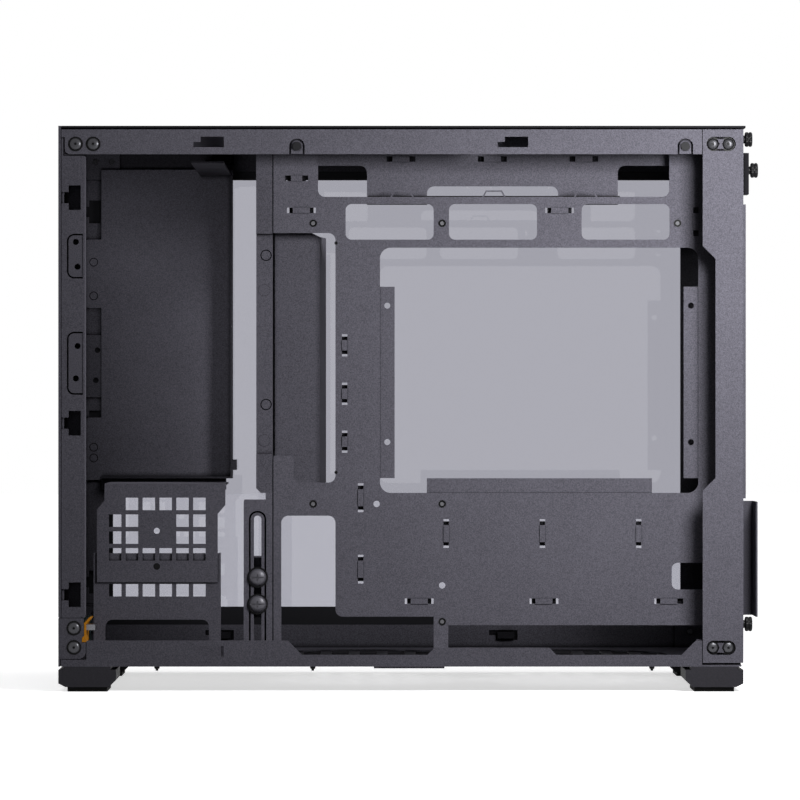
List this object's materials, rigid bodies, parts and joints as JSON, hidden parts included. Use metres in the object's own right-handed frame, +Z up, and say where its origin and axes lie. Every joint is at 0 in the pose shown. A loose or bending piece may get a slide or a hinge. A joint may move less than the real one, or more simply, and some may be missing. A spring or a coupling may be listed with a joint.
{
  "type": "computer case",
  "caption": "Compact upright computer case with its right side open: folded dark steel frame, windowed board tray, perforated supply shelf, tinted glass on the far side and black feet.",
  "frame": {"origin": "middle of the case's box on the floor", "axes": "+X to the rear, +Y towards the glass side, away from the open side, +Z up"},
  "size_m": [0.3988, 0.2058, 0.315],
  "materials": {
    "powder_coat": "fine-grained dark grey powder coat",
    "dark_screw": "black oxide with a soft shine",
    "standoff_steel": "dark plated",
    "tinted_glass": "polished, tinted, black border",
    "circuit_board": "dark solder mask",
    "bright_steel": "stamped",
    "black_plastic": "matte black",
    "orange_film": "smooth film",
    "foot_rubber": "soft rubber"
  },
  "bodies": {
    "case": {"audio_jack": "black_plastic", "base_studs": "dark_screw", "board_header": "bright_steel", "board_insulator": "orange_film", "bottom_filter": "black_plastic", "bottom_panel": "powder_coat", "cable_shroud": "powder_coat", "catch_heads": "dark_screw", "foot_front_left": "black_plastic", "foot_front_right": "black_plastic", "foot_pad_front_left": "foot_rubber", "foot_pad_front_right": "foot_rubber", "foot_pad_rear_left": "foot_rubber", "foot_pad_rear_right": "foot_rubber", "foot_rear_left": "black_plastic", "foot_rear_right": "black_plastic", "frame_screws": "dark_screw", "front_frame": "powder_coat", "front_io_board": "circuit_board", "front_io_panel": "powder_coat", "front_panel": "powder_coat", "glass_hooks_bottom": "powder_coat", "glass_hooks_top": "powder_coat", "glass_panel": "tinted_glass", "motherboard_tray": "powder_coat", "panel_catches": "powder_coat", "power_switch": "black_plastic", "psu_cover": "powder_coat", "psu_divider": "powder_coat", "psu_shelf": "powder_coat", "psu_shelf_base": "powder_coat", "rear_catch": "powder_coat", "rear_panel": "powder_coat", "slot_clamp": "powder_coat", "slot_cover_1": "powder_coat", "slot_cover_2": "powder_coat", "slot_cover_3": "powder_coat", "slot_cover_4": "powder_coat", "standoffs": "standoff_steel", "support_clamp": "powder_coat", "support_rail": "powder_coat", "support_screws": "dark_screw", "thumbscrews": "dark_screw", "top_cover": "powder_coat", "top_fan_bracket": "powder_coat", "top_panel": "powder_coat", "type_c_port": "bright_steel", "usb_port": "bright_steel"},
    "button": {"power_button": "black_plastic"}
  },
  "joints": [
    {"name": "power_press", "type": "slide", "parent": "case", "child": "button", "axis": [1, 0, 0], "range_m": [0, 0.0015], "stiffness_N_per_m": 900, "springref_m": -0.0005}
  ]
}
